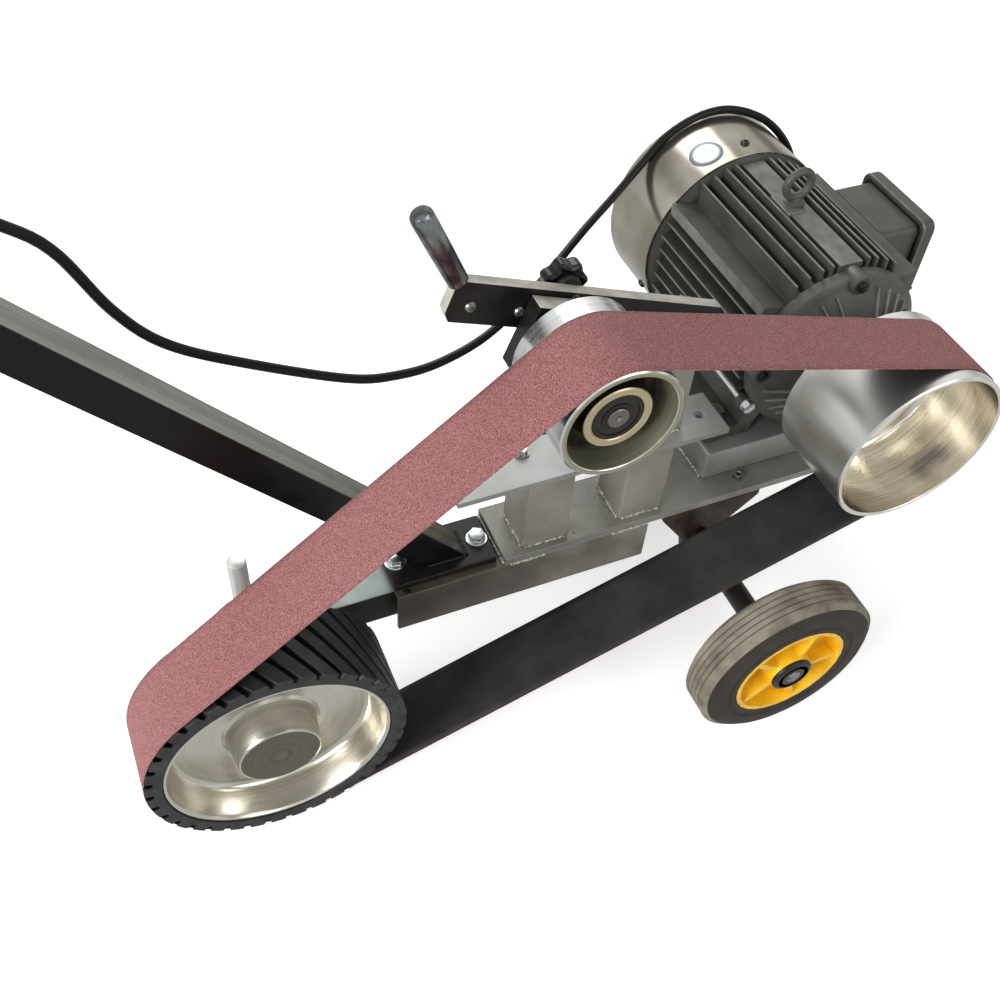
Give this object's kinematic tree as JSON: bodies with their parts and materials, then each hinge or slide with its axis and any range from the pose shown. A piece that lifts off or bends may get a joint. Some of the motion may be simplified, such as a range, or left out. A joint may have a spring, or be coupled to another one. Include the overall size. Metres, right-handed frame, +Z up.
{
  "type": "wheeled belt grinder",
  "caption": "Wheeled belt grinder: abrasive belt over a grooved rubber contact drum, lever tension wheel and motor drum, on a welded frame with push handle.",
  "frame": {"origin": "on the floor, below the middle of the machine without its cable", "axes": "+X from the contact drum towards the motor drum, +Y from the belt side to the motor side along every wheel axle, +Z up"},
  "size_m": [1.2984, 0.563, 0.959],
  "materials": {
    "grey_paint": "satin",
    "black_paint": "satin",
    "motor_paint": "painted casting",
    "cowl_paint": "gloss",
    "machined_aluminium": "machined",
    "polished_steel": "polished",
    "zinc_steel": "zinc plated",
    "core_steel": "plain",
    "bearing_steel": "ground",
    "drum_rubber": "matt",
    "grip_rubber": "matt",
    "tyre_rubber": "matt",
    "abrasive_cloth": "gritty",
    "yellow_plastic": "gloss",
    "black_plastic": "satin",
    "green_plastic": "gloss",
    "red_plastic": "gloss",
    "cable_sheath": "matt"
  },
  "bodies": {
    "root": {"arm_pin": "polished_steel", "axle_bracket_front": "black_paint", "axle_bracket_rear": "black_paint", "base_plate": "grey_paint", "boom_flange": "black_paint", "boom_tube": "black_paint", "cart_axle": "black_paint", "contact_arm": "black_paint", "contact_axle": "zinc_steel", "drive_end_shield": "motor_paint", "eye_bolt": "motor_paint", "fan_cowl": "cowl_paint", "flange_bolt_left": "zinc_steel", "flange_bolt_right": "zinc_steel", "front_channel": "grey_paint", "grip_front": "grip_rubber", "grip_rear": "grip_rubber", "handlebar": "black_paint", "lever_bracket": "grey_paint", "lever_pivot_bolt": "zinc_steel", "motor_bearing_front": "bearing_steel", "motor_bearing_rear": "bearing_steel", "motor_housing": "motor_paint", "motor_rail_front": "grey_paint", "motor_rail_rear": "grey_paint", "motor_stator": "core_steel", "post_left": "grey_paint", "post_right": "grey_paint", "power_cable": "cable_sheath", "rear_end_shield": "motor_paint", "sanding_belt": "abrasive_cloth", "switch_box": "black_plastic", "terminal_box": "motor_paint", "terminal_cover": "motor_paint", "upper_plate": "grey_paint", "upper_plate_screw": "zinc_steel"},
    "contact_spin": {"contact_wheel": "machined_aluminium", "contact_tyre": "drum_rubber", "contact_bearing": "bearing_steel"},
    "drive_spin": {"drive_wheel": "polished_steel", "drive_wheel_retainer": "zinc_steel", "motor_shaft": "core_steel", "motor_rotor": "core_steel", "cooling_fan": "black_plastic"},
    "tension_lever": {"tension_lever": "black_paint", "lever_handle": "polished_steel"},
    "tracking_block": {"tracking_block": "black_paint", "tension_axle": "zinc_steel"},
    "tension_spin": {"tension_wheel": "polished_steel", "tension_bearing": "bearing_steel"},
    "tracking_knob": {"tracking_knob": "black_plastic"},
    "cart_wheel_front": {"cart_tyre_front": "tyre_rubber", "cart_rim_front": "yellow_plastic"},
    "cart_wheel_rear": {"cart_tyre_rear": "tyre_rubber", "cart_rim_rear": "yellow_plastic"},
    "start_button": {"start_button": "green_plastic"},
    "stop_button": {"stop_button": "red_plastic"}
  },
  "joints": [
    {"name": "contact_spin", "type": "hinge", "parent": "root", "child": "contact_spin", "pos_m": [-0.17284, -0.13045, 0.1263], "axis": [0, 1, 0], "continuous": true},
    {"name": "drive_spin", "type": "hinge", "parent": "root", "child": "drive_spin", "pos_m": [0.48316, -0.12745, 0.3177], "axis": [0, 1, 0], "continuous": true},
    {"name": "lever_pivot", "type": "hinge", "parent": "root", "child": "tension_lever", "pos_m": [0.28216, -0.03845, 0.4268], "axis": [0, 1, 0], "range_deg": [-25, 0]},
    {"name": "tracking_tilt", "type": "hinge", "parent": "tension_lever", "child": "tracking_block", "pos_m": [0.12813, -0.04545, 0.42826], "axis": [0.9388, 0, -0.3445], "range_deg": [0, 2]},
    {"name": "tension_spin", "type": "hinge", "parent": "tracking_block", "child": "tension_spin", "pos_m": [0.13916, -0.11895, 0.4583], "axis": [0, 1, 0], "continuous": true},
    {"name": "knob_turn", "type": "hinge", "parent": "tension_lever", "child": "tracking_knob", "pos_m": [0.15076, -0.02045, 0.48993], "axis": [0, 1, 0], "range_deg": [0, 160]},
    {"name": "cart_spin_front", "type": "hinge", "parent": "root", "child": "cart_wheel_front", "pos_m": [0.34816, -0.22945, 0.102], "axis": [0, 1, 0], "continuous": true},
    {"name": "cart_spin_rear", "type": "hinge", "parent": "root", "child": "cart_wheel_rear", "pos_m": [0.34816, 0.21555, 0.102], "axis": [0, 1, 0], "continuous": true},
    {"name": "start_press", "type": "slide", "parent": "root", "child": "start_button", "axis": [0.7547, 0, 0.6561], "range_m": [-0.003, 0], "stiffness_N_per_m": 200, "springref_m": 0.002},
    {"name": "stop_press", "type": "slide", "parent": "root", "child": "stop_button", "axis": [0.7547, 0, 0.6561], "range_m": [-0.003, 0], "stiffness_N_per_m": 200, "springref_m": 0.002}
  ],
  "couplings": [
    {"joint": "contact_spin", "follows": "drive_spin", "ratio": 0.74},
    {"joint": "tension_spin", "follows": "drive_spin", "ratio": 1.6518},
    {"joint": "knob_turn", "follows": "tracking_tilt", "ratio": 80}
  ]
}
